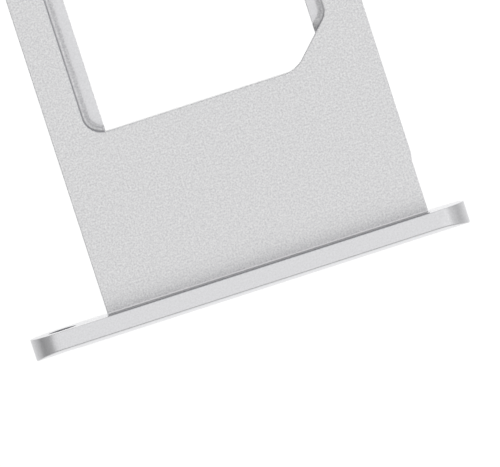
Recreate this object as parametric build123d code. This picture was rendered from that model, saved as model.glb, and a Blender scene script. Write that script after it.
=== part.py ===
from build123d import *
import os

# A phone's tray for one nano-size SIM card, cut from a single piece of aluminium.
# While it is drawn, +Y is the way the tray goes into the phone, Y = 0 is the back of the face plate,
# X = 0 is the tray plate's centreline, and Z = 0 is the lowest line of the face plate.
# All sizes are in millimetres.

# The card that the pocket holds
card_width = 8.8
card_length = 12.3
card_thickness = 0.67
card_corner_cut = 1.65

# Room round the card in its pocket
card_side_play = 0.05
card_end_play = 0.075
card_cut_play = 0.18
card_sink = 0.03

# Pocket, its ledges and the window through its floor
pocket_start = 5.93
pocket_offset = -0.04
pocket_corner_radius = 0.67
cut_front_radius = 0.85
cut_side_radius = 0.54
ledge_thickness = 0.25
long_side_ledge = 0.60
cut_side_ledge = 0.55
far_ledge = 0.60
window_far_radius = 0.30
window_near_radius = 0.05
pocket_foot_radius = 0.08

# Tray plate
plate_width = 11.39
far_rim = 1.15
far_corner_radius = 1.0
neck_relief = 0.05
neck_length = 1.82
neck_ramp = 0.27

# Face plate, a flat-sided oval with a crowned outer face
face_length = 15.36
face_height = 2.16
face_edge_thickness = 0.59
face_crown_radius = 3.45
face_offset = 0.80
face_foot_radius = 0.09

# Hole for the pin that ejects the tray, in the face plate's longer ear
pin_hole_radius = 0.5
pin_hole_inset = 1.13

# How much the blasting rounds an outer edge
edge_break = 0.04

# How far a cutter runs past what it cuts, and how near two places have to be to count as one
cutter_overrun = 1.0
near = 0.001

# Sizes that follow from those above
pocket_width = card_width + 2 * card_side_play
pocket_length = card_length + 2 * card_end_play
pocket_depth = card_thickness + card_sink
pocket_cut = card_corner_cut + card_side_play + card_end_play - 2**0.5 * card_cut_play
pocket_end = pocket_start + pocket_length
window_left = long_side_ledge - pocket_width / 2
window_right = pocket_width / 2 - cut_side_ledge
window_end = pocket_end - far_ledge
plate_thickness = pocket_depth + ledge_thickness
plate_reach = pocket_end + far_rim
plate_bottom = (face_height - plate_thickness) / 2
plate_top = plate_bottom + plate_thickness
ledge_top = plate_bottom + ledge_thickness
face_end_radius = face_height / 2
face_crown = face_crown_radius - (face_crown_radius**2 - face_end_radius**2) ** 0.5
face_thickness = face_edge_thickness + face_crown
pin_hole_x = pin_hole_inset - face_length / 2 - face_offset


def face_plate():
    """The oval plate that closes the phone's slot, with its crowned outer face and the pin hole."""
    oval = SlotOverall(face_length, face_height)
    blank = extrude(Plane.XZ * Pos(-face_offset, face_end_radius) * oval, face_thickness)
    crown = Cylinder(face_crown_radius, face_length + 2 * cutter_overrun, rotation=(0, 90, 0))
    body = blank & Pos(-face_offset, face_crown_radius - face_thickness, face_end_radius) * crown
    pin_hole = Cylinder(pin_hole_radius, 2 * (face_thickness + cutter_overrun), rotation=(90, 0, 0))
    body -= Pos(pin_hole_x, 0, face_end_radius) * pin_hole
    smooth_joins = body.edges().filter_by(Axis.Y)
    return fillet(body.edges() - smooth_joins, edge_break)


def tray_plate():
    """The tray's flat body, from the middle of the face plate's edge thickness to the far end."""
    half = plate_width / 2
    root = -face_edge_thickness / 2
    outline = Polyline(
        (-half, root),
        (half - neck_relief, root),
        (half - neck_relief, neck_length),
        (half, neck_length + neck_ramp),
        (half, plate_reach),
        (-half, plate_reach),
        close=True,
    )
    face = make_face(outline)
    face = fillet(face.vertices().group_by(Axis.Y)[-1], far_corner_radius)
    plate = extrude(Pos(0, 0, plate_bottom) * face, plate_thickness)
    upright = plate.edges().filter_by(Axis.Z)
    buried = plate.edges().group_by(Axis.Y)[0]
    return fillet(plate.edges() - upright - buried, edge_break)


def round_foot(tray):
    """Rounds the inner corner all round the tray plate, where it grows out of the face plate's back."""
    on_back = tray.edges().filter_by_position(Axis.Y, -near, near)
    beside = on_back.filter_by_position(Axis.X, -plate_width / 2 - near, plate_width / 2 + near)
    foot = beside.filter_by_position(Axis.Z, plate_bottom - near, plate_top + near)
    return fillet(foot, face_foot_radius)


def pocket_outline():
    """The pocket seen from above: the card's outline with room round it, one corner clipped.

    It's drawn on the tray plate's centreline, and the cutters are moved sideways by pocket_offset."""
    half = pocket_width / 2
    outline = Polyline(
        (-half, pocket_start),
        (half - pocket_cut, pocket_start),
        (half, pocket_start + pocket_cut),
        (half, pocket_end),
        (-half, pocket_end),
        close=True,
    )
    face = make_face(outline)
    cut_front = Vertex(half - pocket_cut, pocket_start, 0)
    cut_side = Vertex(half, pocket_start + pocket_cut, 0)
    near_corner = Vertex(-half, pocket_start, 0)
    face = fillet(face.vertices().group_by(Axis.Y)[-1], pocket_corner_radius)
    face = fillet(corner_at(face, near_corner), pocket_corner_radius)
    face = fillet(corner_at(face, cut_front), cut_front_radius)
    return fillet(corner_at(face, cut_side), cut_side_radius)


def corner_at(face, place):
    """The face's corner that lies nearest to a place."""
    return face.vertices().sort_by_distance(place)[0]


def window_outline():
    """The pocket's outline without its ledges: open to the front wall, ledges on the other sides."""
    front = pocket_start - cutter_overrun
    between = make_face(
        Polyline(
            (window_left, front),
            (window_right, front),
            (window_right, window_end),
            (window_left, window_end),
            close=True,
        )
    )
    between = fillet(between.vertices().group_by(Axis.Y)[-1], window_far_radius)
    window = pocket_outline() & between
    near_corner = Vertex(window_left, pocket_start, 0)
    return fillet(corner_at(window, near_corner), window_near_radius)


def pocket_cutter():
    """What is milled out for the card, with the small radius that the cutter leaves at the floor."""
    floor = Pos(pocket_offset, 0, ledge_top) * pocket_outline()
    cutter = extrude(floor, pocket_depth + cutter_overrun)
    return fillet(cutter.edges().group_by(Axis.Z)[0], pocket_foot_radius)


def window_cutter():
    """What is cut right through the plate between the ledges."""
    below = Pos(pocket_offset, 0, plate_bottom - cutter_overrun) * window_outline()
    return extrude(below, plate_thickness + 2 * cutter_overrun)


def inner_edges(tray, level):
    """The edges at one height that lie over the pocket, so not the plate's outer rim."""
    at_level = tray.edges().filter_by_position(Axis.Z, level - near, level + near)
    along = at_level.filter_by_position(Axis.Y, pocket_start - near, pocket_end + near)
    left = pocket_offset - pocket_width / 2 - near
    right = pocket_offset + pocket_width / 2 + near
    return along.filter_by_position(Axis.X, left, right)


def sim_card_tray():
    """Face plate and tray plate as one solid, with the pocket and the window cut out of it."""
    tray = round_foot(face_plate() + tray_plate())
    tray -= pocket_cutter()
    tray -= window_cutter()
    tray = fillet(inner_edges(tray, plate_top), edge_break)
    return fillet(inner_edges(tray, plate_bottom), edge_break)


tray = sim_card_tray()
box = tray.bounding_box()
middle = Vector(box.center().X, box.center().Y, box.min.Z)
tray = Pos(-middle) * tray

os.makedirs("parts", exist_ok=True)
export_step(tray, "parts/sim_card_tray.step")
print("size", tray.bounding_box().size, "volume", tray.volume, "middle", middle)
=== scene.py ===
# %% [markdown]
# # A phone's SIM card tray
# The real tray is cut from one billet of aluminium, blasted with fine glass beads and anodised silver.
# It's about 20 mm long, and it's photographed from nearly straight above on pure white. The CAD frame gives
# its place and its sizes, and this script gives it its finish, its light and the photograph's view.

import math

import bmesh
import bpy
from mathutils import Matrix, Vector


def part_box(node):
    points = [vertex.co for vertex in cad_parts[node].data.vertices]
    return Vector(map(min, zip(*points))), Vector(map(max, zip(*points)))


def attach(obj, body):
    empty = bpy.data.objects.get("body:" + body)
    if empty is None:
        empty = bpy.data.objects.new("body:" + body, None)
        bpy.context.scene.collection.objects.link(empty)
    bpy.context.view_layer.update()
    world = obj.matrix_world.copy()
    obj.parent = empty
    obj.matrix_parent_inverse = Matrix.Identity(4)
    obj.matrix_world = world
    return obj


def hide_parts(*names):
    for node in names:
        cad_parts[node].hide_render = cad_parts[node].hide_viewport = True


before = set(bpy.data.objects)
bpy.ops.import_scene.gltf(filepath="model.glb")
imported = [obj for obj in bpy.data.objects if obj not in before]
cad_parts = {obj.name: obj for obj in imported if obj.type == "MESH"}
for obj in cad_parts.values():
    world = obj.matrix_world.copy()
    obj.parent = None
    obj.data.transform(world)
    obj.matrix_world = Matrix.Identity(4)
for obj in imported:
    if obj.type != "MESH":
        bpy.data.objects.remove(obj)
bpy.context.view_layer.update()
scene = bpy.context.scene

# %% [markdown]
# Blender measures in metres, and this tray is easier to think about in millimetres. The frame's own
# coordinates start in the middle of the whole tray. The drawing's start at the back of the face plate,
# on the tray plate's centreline, so every shape is drawn there and moved once at the end.

# %% Millimetres and the drawing's origin
MM = 0.001
FACE_OFFSET = 0.80
cad_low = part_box("sim_card_tray")[0]
FACE_THICKNESS = 0.7634
ORIGIN = Vector((FACE_OFFSET * MM, cad_low.y + FACE_THICKNESS * MM, cad_low.z))
print("the drawing's origin lies at", [round(c / MM, 3) for c in ORIGIN], "mm of the frame")

# %% [markdown]
# Colours are written as the sRGB hex values that a picture editor shows. Blender's sockets want linear
# values, so one function turns them. A second function adds a node, sets its values and links its inputs,
# and a third is a short way to write a node that does one sum.


# %% Colour and node helpers
def linear(hex_colour):
    """An sRGB hex colour as the linear RGBA that a Blender socket takes."""
    channels = [int(hex_colour[i : i + 2], 16) / 255 for i in (1, 3, 5)]
    turned = [c / 12.92 if c <= 0.04045 else ((c + 0.055) / 1.055) ** 2.4 for c in channels]
    return (*turned, 1.0)


def add_node(tree, kind, settings=None, **inputs):
    """Adds a node. An input is a value, or another node's output socket, which is linked."""
    node = tree.nodes.new(kind)
    for name, value in (settings or {}).items():
        setattr(node, name, value)
    for name, value in inputs.items():
        key = int(name[1:]) if name[0] == "i" and name[1:].isdigit() else name.replace("_", " ")
        socket = node.inputs[key]
        if isinstance(value, bpy.types.NodeSocket):
            tree.links.new(value, socket)
        else:
            socket.default_value = value
    return node


def add_sum(tree, operation, *inputs, kind="ShaderNodeMath"):
    """Adds a node that does one sum on its inputs, in their order, and returns its result."""
    named = {f"i{index}": value for index, value in enumerate(inputs)}
    node = add_node(tree, kind, {"operation": operation}, **named)
    return node.outputs["Value" if kind == "ShaderNodeMath" or operation == "LENGTH" else "Vector"]


def new_material(name):
    """An empty material with its output node."""
    material = bpy.data.materials.new(name)
    material.use_nodes = True
    material.node_tree.nodes.clear()
    output = material.node_tree.nodes.new("ShaderNodeOutputMaterial")
    return material, material.node_tree, output


print("#D6D6D8 in linear light:", [round(c, 3) for c in linear("#D6D6D8")])

# %% [markdown]
# Bead-blasted anodised aluminium is a metal whose surface is covered in shallow dimples some hundredths of
# a millimetre wide. They spread its reflections, so it looks soft and grey rather than mirror-like,
# and close up they show as a fine speckle. The tray has three grades of it. The plate shows the speckle
# most, and the face plate and the ledges are smoother and gleam a little. The walls that face sideways into
# the pocket, the pin hole and the face plate's foot are cut rather than blasted, so they're rougher, and
# their colour is made darker as painted shade for the dark that gathers in the pocket's corners and in the
# pin hole.

# %% Bead-blasted anodised aluminium
GRAIN = 0.060 * MM
SPECKLE_RANGE = (0.25, 0.75)


def blasted_aluminium(name, roughness, dark, light, relief):
    """One grade of the finish: its roughness, the speckle's two shades and the dimples' depth."""
    material, tree, output = new_material(name)
    coords = add_node(tree, "ShaderNodeTexCoord")
    speckle = add_node(
        tree,
        "ShaderNodeTexNoise",
        Vector=coords.outputs["Object"],
        Scale=1 / GRAIN,
        Detail=1.0,
        Roughness=0.5,
    )
    shade = add_node(tree, "ShaderNodeValToRGB", Fac=speckle.outputs["Fac"])
    for stop, position, colour in zip(shade.color_ramp.elements, SPECKLE_RANGE, (dark, light)):
        stop.position = position
        stop.color = linear(colour)
    bump = add_node(
        tree,
        "ShaderNodeBump",
        Height=speckle.outputs["Fac"],
        Strength=1.0,
        Distance=relief,
    )
    metal = add_node(
        tree,
        "ShaderNodeBsdfPrincipled",
        Base_Color=shade.outputs["Color"],
        Metallic=1.0,
        Roughness=roughness,
        Normal=bump.outputs["Normal"],
    )
    tree.links.new(metal.outputs["BSDF"], output.inputs["Surface"])
    return material


PLATE_ROUGHNESS, PLATE_DIMPLES = 0.64, 0.0008 * MM
FACE_ROUGHNESS, FACE_DIMPLES = 0.34, 0.0003 * MM
WALL_ROUGHNESS, WALL_DIMPLES = 0.85, 0.0002 * MM
plate_finish = blasted_aluminium(
    "bead_blasted_anodised_aluminium", PLATE_ROUGHNESS, "#E1E1E3", "#FFFFFF", PLATE_DIMPLES
)
face_finish = blasted_aluminium(
    "fine_blasted_anodised_aluminium", FACE_ROUGHNESS, "#DDDDDF", "#E9E9EB", FACE_DIMPLES
)
# The walls' two shades are darker than the plate's: painted shade for the pocket's walls and corners, the
# pin hole and the face plate's back above the plate. Only their roughness is the cut finish.
wall_finish_with_painted_shade = blasted_aluminium(
    "milled_aluminium_with_painted_shade", WALL_ROUGHNESS, "#B6B6BA", "#C0C0C4", WALL_DIMPLES
)
print("speckle", round(GRAIN / MM, 3), "mm wide")

# %% [markdown]
# The CAD model arrives as loose triangles, which is enough for a fit but leaves hard lines in the light.
# So the tray is modelled again from the same sizes, as one closed skin whose edges are rounded a little,
# as the blasting leaves them. It starts from flat outlines. An outline is a few corners joined by one face,
# and a vertex bevel rounds each corner to its own radius.

# %% Rounded outlines
ARC_STEPS = 16
FEWEST_STEPS = 4
NEAR = 1e-4


def rounded_face(bm, corners, height):
    """A level face with rounded corners. Each corner is given as x, y and a radius."""
    before = set(bm.faces)
    verts = [bm.verts.new((x, y, height)) for x, y, radius in corners]
    bm.faces.new(verts)
    for vert, (x, y, radius) in zip(verts, corners):
        if radius:
            turn = math.pi - vert.link_loops[0].calc_angle()
            reach = radius * math.tan(turn / 2)
            round_corners(bm, [vert], reach, ARC_STEPS * turn / math.pi * 2)
    return next(face for face in bm.faces if face not in before)


def round_corners(bm, verts, reach, steps):
    """Rounds corners of a flat face. The rounding starts at a reach from each corner."""
    bmesh.ops.bevel(
        bm,
        geom=verts,
        offset=reach,
        offset_type="OFFSET",
        segments=max(FEWEST_STEPS, round(steps)),
        profile=0.5,
        affect="VERTICES",
        material=-1,
    )


# %% [markdown]
# Every wall and rounding of the tray is then made with one tool, the inset. It moves a face sideways within
# its own outline and forward along its normal, and leaves a band of new faces behind. A few small insets
# along a quarter circle round an edge, inward for a rim, or outward for the mouth of a hole.

# %% Bands and roundings
ROUND_STEPS = 3


def facing(bm, face, direction):
    """Turns a face to look in a direction."""
    bm.normal_update()
    if face.normal.dot(Vector(direction)) < 0:
        bmesh.ops.reverse_faces(bm, faces=[face])
        bm.normal_update()


def band(bm, face, inward, forward):
    """Moves a face inward and forward, and leaves a band of faces behind it."""
    bm.normal_update()
    bmesh.ops.inset_region(
        bm,
        faces=[face],
        thickness=inward,
        depth=forward,
        use_even_offset=True,
        use_boundary=True,
    )


def quarter_round(bm, face, radius, side, direction):
    """Rounds from a wall to the flat that a face lies in. A side of 1 goes inward and -1 outward."""
    facing(bm, face, direction)
    angles = [math.pi / 2 * step / ROUND_STEPS for step in range(ROUND_STEPS + 1)]
    for low, high in zip(angles, angles[1:]):
        inward = radius * (math.cos(low) - math.cos(high))
        band(bm, face, side * inward, radius * (math.sin(high) - math.sin(low)))


def twin(bm, face):
    """A second face on the same outline, for the wall that goes the other way."""
    made = bmesh.ops.duplicate(bm, geom=[face])["geom"]
    return next(item for item in made if isinstance(item, bmesh.types.BMFace))


def opened(bm, face):
    """Takes a face away and returns the row of edges that was round it."""
    edges = list(face.edges)
    bmesh.ops.delete(bm, geom=[face], context="FACES_ONLY")
    return edges


def filled(bm, edges, normal):
    """Fills the space between closed rows of edges that lie in one plane, round any holes."""
    before = set(bm.faces)
    bmesh.ops.triangle_fill(bm, edges=edges, use_beauty=True, use_dissolve=True, normal=normal)
    return [face for face in bm.faces if face not in before]


# %% [markdown]
# The card's pocket comes first. From its outline, half-way up the wall, one face goes up and out over the
# rounded rim, and its twin goes down to the floor with the cutter's small radius at the foot. From there
# the floor rises by about a hundredth of a millimetre, which gives the ledges a soft shade by the walls.
# The floor is then cut along the three straight sides of the window, and the window's walls go down.

# %% Pocket, ledges and window
EDGE_BREAK = 0.04
LEDGE_BREAK = 0.03
POCKET_FOOT = 0.08
DISH_DEPTH, DISH_WIDTH, DISH_STEPS = 0.009, 0.15, 4
FLAT_ANGLE = 0.01
CARD_SIDE = 8.9 / 2
POCKET_START, POCKET_END = 5.93, 18.38
POCKET_OFFSET = -0.04
POCKET_CUT = 1.5204
POCKET_DEPTH = 0.70
LEDGE_THICKNESS = 0.25
PLATE_BOTTOM = 0.605
LEDGE_TOP = PLATE_BOTTOM + LEDGE_THICKNESS
PLATE_TOP = LEDGE_TOP + POCKET_DEPTH
WINDOW_LEFT, WINDOW_RIGHT, WINDOW_END = POCKET_OFFSET - 3.85, POCKET_OFFSET + 3.90, 17.78
WINDOW_FAR_RADIUS = 0.30
POCKET_CORNERS = (
    (POCKET_OFFSET - CARD_SIDE, POCKET_START, 0.67),
    (POCKET_OFFSET + CARD_SIDE - POCKET_CUT, POCKET_START, 0.85),
    (POCKET_OFFSET + CARD_SIDE, POCKET_START + POCKET_CUT, 0.54),
    (POCKET_OFFSET + CARD_SIDE, POCKET_END, 0.67),
    (POCKET_OFFSET - CARD_SIDE, POCKET_END, 0.67),
)
UP, DOWN = (0, 0, 1), (0, 0, -1)


def in_window(point):
    """Whether a point lies between the ledges."""
    between = WINDOW_LEFT - NEAR < point.x < WINDOW_RIGHT + NEAR
    return between and point.y < WINDOW_END + NEAR


def pocket_walls(bm):
    """The pocket's rim, walls and floor. Returns the row of edges round its mouth."""
    rim = rounded_face(bm, POCKET_CORNERS, PLATE_TOP - EDGE_BREAK)
    floor = twin(bm, rim)
    quarter_round(bm, rim, EDGE_BREAK, -1, UP)
    facing(bm, floor, DOWN)
    band(bm, floor, 0, POCKET_DEPTH + DISH_DEPTH - EDGE_BREAK - POCKET_FOOT)
    quarter_round(bm, floor, POCKET_FOOT, 1, DOWN)
    depths = [DISH_DEPTH * (1 - step / DISH_STEPS) ** 2 for step in range(DISH_STEPS + 1)]
    for before, after in zip(depths, depths[1:]):
        band(bm, floor, DISH_WIDTH / DISH_STEPS, after - before)
    return opened(bm, rim)


def open_window(bm):
    """Cuts the window out of the pocket's floor, and leaves the ledges. Returns its row of edges."""
    lines = (((WINDOW_LEFT, 0, 0), (1, 0, 0)), ((WINDOW_RIGHT, 0, 0), (1, 0, 0)))
    for point, normal in (*lines, ((0, WINDOW_END, 0), (0, 1, 0))):
        low = [f for f in bm.faces if f.calc_center_median().z < LEDGE_TOP + POCKET_FOOT]
        geom = {item for face in low for item in (face, *face.edges, *face.verts)}
        bmesh.ops.bisect_plane(
            bm, geom=list(geom), plane_co=point, plane_no=normal, dist=NEAR / 10
        )
    low = [f for f in bm.faces if f.calc_center_median().z < LEDGE_TOP + POCKET_FOOT]
    inside = [face for face in low if all(in_window(vert.co) for vert in face.verts)]
    bmesh.ops.delete(bm, geom=inside, context="FACES")
    flat = [e for e in bm.edges if all(abs(v.co.z - LEDGE_TOP) < NEAR for v in e.verts)]
    seams = [e for e in flat if len(e.link_faces) == 2 and e.calc_face_angle() < FLAT_ANGLE]
    bmesh.ops.dissolve_edges(bm, edges=seams, use_verts=False)
    far_corners = [
        vert
        for vert in bm.verts
        if abs(vert.co.y - WINDOW_END) < NEAR
        and min(abs(vert.co.x - WINDOW_LEFT), abs(vert.co.x - WINDOW_RIGHT)) < NEAR
    ]
    round_corners(bm, far_corners, WINDOW_FAR_RADIUS, ARC_STEPS / 2)
    low = LEDGE_TOP + POCKET_FOOT + NEAR
    return [e for e in bm.edges if e.is_boundary and all(v.co.z < low for v in e.verts)]


def window_walls(bm, edges):
    """The window's walls and its rim on the underside. Returns the row of edges round the rim."""
    made = bmesh.ops.extrude_edge_only(bm, edges=edges)["geom"]
    verts = [item for item in made if isinstance(item, bmesh.types.BMVert)]
    for vert in verts:
        vert.co.z = PLATE_BOTTOM + EDGE_BREAK
    ring = [e for e in made if isinstance(e, bmesh.types.BMEdge) and set(e.verts) <= set(verts)]
    face = bmesh.ops.edgeloop_fill(bm, edges=ring)["faces"][0]
    quarter_round(bm, face, EDGE_BREAK, -1, DOWN)
    return opened(bm, face)


# %% [markdown]
# The tray plate is made the same way from its own outline, and drawn too long on purpose. Its two flat
# sides are filled between its rims and the pocket's or the window's. Then it's cut off just short of the
# face plate, and the open end is flared out, which gives the small radius where one grows out of the other.

# %% Tray plate
PLATE_HALF = 11.39 / 2
PLATE_REACH = 19.53
FAR_CORNER_RADIUS = 1.0
SPARE_LENGTH = 0.5
FACE_FOOT = 0.09
NECK_RELIEF, NECK_LENGTH, NECK_RAMP = 0.05, 1.82, 0.27
PLATE_CORNERS = (
    (-PLATE_HALF, -SPARE_LENGTH, 0),
    (PLATE_HALF - NECK_RELIEF, -SPARE_LENGTH, 0),
    (PLATE_HALF - NECK_RELIEF, NECK_LENGTH, 0),
    (PLATE_HALF, NECK_LENGTH + NECK_RAMP, 0),
    (PLATE_HALF, PLATE_REACH, FAR_CORNER_RADIUS),
    (-PLATE_HALF, PLATE_REACH, FAR_CORNER_RADIUS),
)
IN, OUT = (0, 1, 0), (0, -1, 0)


def tray_plate(bm):
    """The plate with its pocket and window. Returns the row of edges where the face plate starts."""
    pocket_rim = pocket_walls(bm)
    window_rim = window_walls(bm, open_window(bm))
    top = rounded_face(bm, PLATE_CORNERS, PLATE_BOTTOM + EDGE_BREAK)
    bottom = twin(bm, top)
    facing(bm, top, UP)
    band(bm, top, 0, PLATE_TOP - PLATE_BOTTOM - 2 * EDGE_BREAK)
    quarter_round(bm, top, EDGE_BREAK, 1, UP)
    quarter_round(bm, bottom, EDGE_BREAK, 1, DOWN)
    filled(bm, opened(bm, top) + pocket_rim, UP)
    filled(bm, opened(bm, bottom) + window_rim, DOWN)
    bmesh.ops.remove_doubles(bm, verts=bm.verts[:], dist=NEAR)
    end = bmesh.ops.bisect_plane(
        bm,
        geom=bm.verts[:] + bm.edges[:] + bm.faces[:],
        plane_co=(0, FACE_FOOT, 0),
        plane_no=IN,
        clear_inner=True,
        dist=NEAR / 10,
    )["geom_cut"]
    ring = [item for item in end if isinstance(item, bmesh.types.BMEdge)]
    face = bmesh.ops.edgeloop_fill(bm, edges=ring)["faces"][0]
    quarter_round(bm, face, FACE_FOOT, -1, OUT)
    return opened(bm, face)


# %% [markdown]
# The face plate is a flat-sided oval: two half circles, each spun from one vertex, and two straight edges.
# Its back is filled round the tray plate's root and the pin hole, and cut in line with the plate's sides,
# so that the part above the plate can take the walls' darker colour, which is painted shade there. Its
# front is filled flat, cut into narrow strips, and then pushed out onto the crown that follows the phone's
# side.

# %% Face plate
FACE_LENGTH, FACE_HEIGHT = 15.36, 2.16
FACE_EDGE_THICKNESS = 0.59
BACK_BREAK = 0.02
CROWN_RADIUS = 3.45
END_RADIUS = FACE_HEIGHT / 2
PIN_HOLE_RADIUS = 0.5
PIN_HOLE_INSET = 1.13
PIN_HOLE_X = PIN_HOLE_INSET - FACE_LENGTH / 2 - FACE_OFFSET
OVAL_STEPS = 32
STRIP_STEPS = range(4, OVAL_STEPS - 3, 2)


def crown(z):
    """How far the crown stands out at a height on the face plate."""
    flat = (CROWN_RADIUS**2 - END_RADIUS**2) ** 0.5
    return (CROWN_RADIUS**2 - (z - END_RADIUS) ** 2) ** 0.5 - flat


def oval(bm, y):
    """The face plate's outline as one upright face."""
    starts, ends = [], []
    for side in (-1, 1):
        middle = side * (FACE_LENGTH / 2 - END_RADIUS) - FACE_OFFSET
        starts.append(bm.verts.new((middle, y, 0)))
        spun = bmesh.ops.spin(
            bm,
            geom=starts[-1:],
            cent=(middle, y, END_RADIUS),
            axis=(0, -side, 0),
            angle=math.pi,
            steps=OVAL_STEPS,
        )["geom_last"]
        ends.append(spun[0])
    bm.edges.new(starts)
    bm.edges.new(ends)
    edges = [e for e in bm.edges if not e.link_faces and abs(e.verts[0].co.y - y) < NEAR]
    return bmesh.ops.edgeloop_fill(bm, edges=edges)["faces"][0]


def pin_hole(bm, y):
    """The pin hole's outline as one upright face."""
    before = set(bm.faces)
    middle = Vector((PIN_HOLE_X, y, END_RADIUS))
    bmesh.ops.create_circle(
        bm,
        cap_ends=True,
        segments=OVAL_STEPS,
        radius=PIN_HOLE_RADIUS,
        matrix=Matrix.Translation(middle) @ Matrix.Rotation(math.pi / 2, 4, "X"),
    )
    return next(face for face in bm.faces if face not in before)


def back_and_front(bm, outline, side):
    """A wall through the face plate with both its edges rounded. Returns its two rows of edges."""
    back = outline(bm, -BACK_BREAK)
    front = twin(bm, back)
    quarter_round(bm, back, BACK_BREAK, side, IN)
    facing(bm, front, OUT)
    band(bm, front, 0, FACE_EDGE_THICKNESS - BACK_BREAK - EDGE_BREAK)
    quarter_round(bm, front, EDGE_BREAK, side, OUT)
    return opened(bm, back), opened(bm, front)


def face_plate(bm, root):
    """The oval plate with its crowned front and the pin hole, joined to the tray plate's root."""
    back_rim, front_rim = back_and_front(bm, oval, 1)
    back_hole, front_hole = back_and_front(bm, pin_hole, -1)
    back = filled(bm, back_rim + back_hole + root, IN)
    for side in (-1, 1):
        geom = {item for face in back for item in (face, *face.edges, *face.verts)}
        line = (side * PLATE_HALF, 0, 0)
        bmesh.ops.bisect_plane(bm, geom=list(geom), plane_co=line, plane_no=(1, 0, 0), dist=NEAR)
        back = [face for face in bm.faces if all(abs(vert.co.y) < NEAR for vert in face.verts)]
    front = filled(bm, front_rim + front_hole, OUT)
    for step in STRIP_STEPS:
        height = END_RADIUS * (1 - math.cos(math.pi * step / OVAL_STEPS))
        geom = {item for face in front for item in (face, *face.edges, *face.verts)}
        bmesh.ops.bisect_plane(
            bm, geom=list(geom), plane_co=(0, 0, height), plane_no=UP, dist=NEAR
        )
        flat = -FACE_EDGE_THICKNESS + NEAR
        front = [face for face in bm.faces if all(vert.co.y < flat for vert in face.verts)]
    for vert in bm.verts:
        if vert.co.y < -FACE_EDGE_THICKNESS / 2:
            vert.co.y -= crown(vert.co.z)


# %% [markdown]
# Both halves now share one mesh. Doubled vertices are merged, so that it closes, and only then are the
# normals worked out again. The ledges' inner edges are the last to be rounded, with an ordinary bevel.
# Each face then takes one of the three finishes, by where it lies and how steeply it stands. The third is
# the walls' rougher finish, whose darker colour is painted shade. The pocket's front wall between the
# ledges runs on into the window's wall, so it keeps the plate's finish and has no painted shade.

# %% The finished tray
STEEP = 0.5
LEDGE_EDGE_ANGLE = math.radians(80)
FRONT_WALL_END = WINDOW_RIGHT - 1
PLATE, FACE, WALL_AND_PAINTED_SHADE = range(3)


def face_plate_finish(face, middle):
    """The finish of one of the face plate's faces: rougher and darkened with painted shade in the pin hole
    and above the plate's root.
    """
    from_hole = math.hypot(middle.x - PIN_HOLE_X, middle.z - END_RADIUS)
    bored = from_hole < PIN_HOLE_RADIUS + NEAR and abs(face.normal.y) < STEEP
    over_root = abs(middle.x) < PLATE_HALF and middle.z > PLATE_TOP and middle.y > -NEAR
    # The pin hole and the back above the plate take the walls' darker colour, which is painted shade.
    return WALL_AND_PAINTED_SHADE if bored or over_root else FACE


def finish_of(face):
    """Which of the three finishes a face has."""
    middle = face.calc_center_median()
    if middle.y < NEAR:
        return face_plate_finish(face, middle)
    if middle.y < FACE_FOOT:
        return FACE
    across = abs(middle.x - POCKET_OFFSET) < CARD_SIDE + NEAR
    along = POCKET_START - NEAR < middle.y < POCKET_END + NEAR
    if not (across and along) or middle.z < LEDGE_TOP - NEAR:
        return PLATE
    # Steep faces in the pocket take the walls' darker colour, which is painted shade. The front wall does
    # not.
    if abs(face.normal.z) < STEEP:
        front = face.normal.y > STEEP and WINDOW_LEFT < middle.x < FRONT_WALL_END
        return PLATE if front else WALL_AND_PAINTED_SHADE
    return FACE if middle.z < LEDGE_TOP + POCKET_FOOT else PLATE


def sim_card_tray():
    """The whole tray as one closed mesh, in millimetres of the drawing."""
    bm = bmesh.new()
    root = tray_plate(bm)
    face_plate(bm, root)
    bmesh.ops.remove_doubles(bm, verts=bm.verts[:], dist=NEAR)
    bmesh.ops.recalc_face_normals(bm, faces=bm.faces[:])
    ledges = [
        edge
        for edge in bm.edges
        if edge.calc_face_angle_signed() > LEDGE_EDGE_ANGLE
        and all(abs(vert.co.z - LEDGE_TOP) < NEAR for vert in edge.verts)
    ]
    bmesh.ops.bevel(
        bm,
        geom=ledges,
        offset=LEDGE_BREAK,
        offset_type="OFFSET",
        segments=ROUND_STEPS,
        profile=0.5,
        affect="EDGES",
        material=-1,
    )
    for face in bm.faces:
        face.smooth = True
        face.material_index = finish_of(face)
    return bm


bm = sim_card_tray()
bad = [edge for edge in bm.edges if not edge.is_manifold]
print("tray mesh:", len(bm.verts), "vertices,", len(bm.faces), "faces,", len(bad), "open edges")
bmesh.ops.transform(
    bm, matrix=Matrix.Translation(ORIGIN) @ Matrix.Scale(MM, 4), verts=bm.verts[:]
)
mesh = bpy.data.meshes.new("sim_card_tray_finished")
bm.to_mesh(mesh)
bm.free()
for finish in (plate_finish, face_finish, wall_finish_with_painted_shade):
    mesh.materials.append(finish)
tray = bpy.data.objects.new("sim_card_tray_finished", mesh)
scene.collection.objects.link(tray)
soften = tray.modifiers.new("even_shading", "WEIGHTED_NORMAL")
soften.weight = 50
soften.keep_sharp = True
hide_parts("sim_card_tray")
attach(tray, "root")

# %% [markdown]
# The photograph has a pure white ground with hardly a shadow. The floor shows as white to the camera, and
# it is also a plain diffuse surface, which keeps the tray's shadow. In the metal's reflections it is white
# close to the tray and falls off to grey further out, because the rounded tips mirror the far floor and
# are darker there in the photograph.

# %% White floor
FLOOR_SIZE = 6.0
FLOOR_GLOW = 0.91
FLOOR_IN_METAL, FAR_FLOOR_IN_METAL = 1.0, 0.35
BRIGHT_REACH = 1.5 * MM
BRIGHT_HALF = (7.68 * MM, 11.15 * MM, 0)
FLOOR_PAINT = "#7A7A7A"


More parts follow.
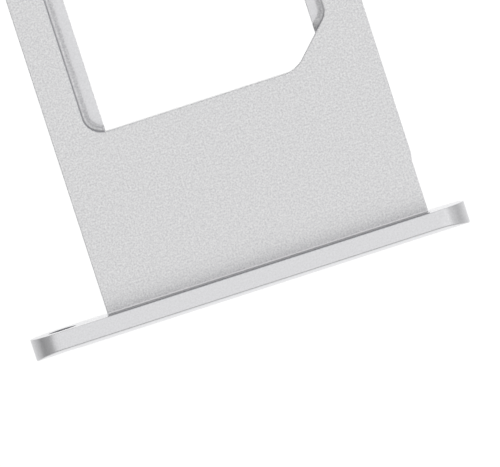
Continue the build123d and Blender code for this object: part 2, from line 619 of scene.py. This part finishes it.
def white_floor():
    """A large floor that looks white and still takes the tray's shadow."""
    material, tree, output = new_material("white_floor_paint")
    path = add_node(tree, "ShaderNodeLightPath").outputs
    reflected = add_sum(tree, "MAXIMUM", path["Is Glossy Ray"], path["Is Transmission Ray"])

    beyond = add_node(tree, "ShaderNodeTexCoord").outputs["Object"]
    for operation, *others in (("ABSOLUTE",), ("SUBTRACT", BRIGHT_HALF), ("MAXIMUM", (0, 0, 0))):
        beyond = add_sum(tree, operation, beyond, *others, kind="ShaderNodeVectorMath")
    distance = add_sum(tree, "LENGTH", beyond, kind="ShaderNodeVectorMath")

    away = add_sum(tree, "MULTIPLY_ADD", distance, 1 / BRIGHT_REACH, 1.0)
    near_tray = add_sum(tree, "DIVIDE", FLOOR_IN_METAL - FAR_FLOOR_IN_METAL, away)
    in_metal = add_sum(tree, "ADD", near_tray, FAR_FLOOR_IN_METAL)
    glow = add_sum(tree, "MULTIPLY", reflected, in_metal)
    glow = add_sum(tree, "MULTIPLY_ADD", path["Is Camera Ray"], FLOOR_GLOW, glow)
    emission = add_node(tree, "ShaderNodeEmission", Strength=glow)
    paint = add_node(tree, "ShaderNodeBsdfDiffuse", Color=linear(FLOOR_PAINT))
    both = add_node(tree, "ShaderNodeAddShader", i0=emission.outputs[0], i1=paint.outputs[0])
    tree.links.new(both.outputs[0], output.inputs["Surface"])

    bm = bmesh.new()
    bmesh.ops.create_grid(bm, x_segments=1, y_segments=1, size=FLOOR_SIZE / 2)
    mesh = bpy.data.meshes.new("floor")
    bm.to_mesh(mesh)
    bm.free()
    mesh.materials.append(material)
    floor = bpy.data.objects.new("floor", mesh)
    scene.collection.objects.link(floor)


white_floor()
print("floor", FLOOR_SIZE, "m across")

# %% [markdown]
# The metal shows what is round it. A wide soft box hangs overhead, and it reaches further down beyond the
# face plate than beyond the card's pocket. The studio's walls are dimmer. A tall panel lights up the wall
# to the right, and a fainter one the wall to the left, so the left tip is the darker one, as in the
# photograph. An area lamp's brightness as the metal sees it is its power divided by pi and by its area, so
# each panel is given by brightness. It adds to that of the walls behind it.

# %% Studio light


def soft_box(name, centre, aim, size, brightness):
    """A rectangular lamp that looks evenly bright, where 1 is white."""
    width, depth = size
    lamp = bpy.data.lights.new(name, "AREA")
    lamp.shape = "RECTANGLE"
    lamp.size = width
    lamp.size_y = depth
    lamp.energy = brightness * math.pi * width * depth
    holder = bpy.data.objects.new(name, lamp)
    direction = Vector(aim) - Vector(centre)
    holder.rotation_euler = direction.to_track_quat("-Z", "Y").to_euler()
    holder.location = centre
    scene.collection.objects.link(holder)


WALL_BRIGHTNESS = 0.31
OVERHEAD_BRIGHTNESS = 0.935
BOX_X, BOX_Y, BOX_HEIGHT = 0.25, -0.45, 1.0
BOX_SIZE = (2.0, 2.9)
PANEL_AWAY = 2.0
RIGHT_HEIGHT, RIGHT_SIZE, RIGHT_BRIGHTNESS = 1.15, (4.0, 2.1), 0.37
LEFT_HEIGHT, LEFT_SIZE, LEFT_BRIGHTNESS = 1.4, (4.0, 1.2), 0.10
BOX_OVER_WALLS = OVERHEAD_BRIGHTNESS - WALL_BRIGHTNESS

box_centre, below_box = (BOX_X, BOX_Y, BOX_HEIGHT), (BOX_X, BOX_Y, 0)
soft_box("overhead_box", box_centre, below_box, BOX_SIZE, BOX_OVER_WALLS)

right_centre, across_right = (PANEL_AWAY, 0, RIGHT_HEIGHT), (0, 0, RIGHT_HEIGHT)
soft_box("right_panel", right_centre, across_right, RIGHT_SIZE, RIGHT_BRIGHTNESS)

left_centre, across_left = (-PANEL_AWAY, 0, LEFT_HEIGHT), (0, 0, LEFT_HEIGHT)
soft_box("left_panel", left_centre, across_left, LEFT_SIZE, LEFT_BRIGHTNESS)

world = bpy.data.worlds.new("studio_walls")
scene.world = world
world.use_nodes = True
background = world.node_tree.nodes["Background"]
background.inputs["Color"].default_value = (1, 1, 1, 1)
background.inputs["Strength"].default_value = WALL_BRIGHTNESS

# %% [markdown]
# The camera looks down at the tray from a little over the card pocket's side, through a long lens, so the
# tray's back wall and its right side just show. The face plate rises from left to right in the picture.

# %% Camera
PICTURE_WIDTH = 500
SENSOR = 36.0
PIXELS_PER_MM = 29.7
DISTANCE = 0.260
RISE = math.radians(17.87)
LEAN_X = 0.035
LEAN_Y = 0.053
TARGET = Vector((0.51, -8.211, 1.555)) * MM
NEAREST, FARTHEST = 0.01, 20.0

backward = Vector((LEAN_X, LEAN_Y, 1.0)).normalized()
level = Vector((math.cos(RISE), -math.sin(RISE), 0.0))
right = (level - backward * level.dot(backward)).normalized()
upward = backward.cross(right)

lens = bpy.data.cameras.new("camera")
lens.sensor_width = SENSOR
lens.lens = SENSOR * DISTANCE / (PICTURE_WIDTH / PIXELS_PER_MM * MM)
lens.clip_start = NEAREST
lens.clip_end = FARTHEST
camera = bpy.data.objects.new("camera", lens)
turned = Matrix((right, upward, backward)).transposed().to_4x4()
camera.matrix_world = Matrix.Translation(TARGET + backward * DISTANCE) @ turned
scene.collection.objects.link(camera)
scene.camera = camera
scene.view_settings.view_transform = "Standard"
print("lens", round(lens.lens, 1), "mm at", DISTANCE, "m")
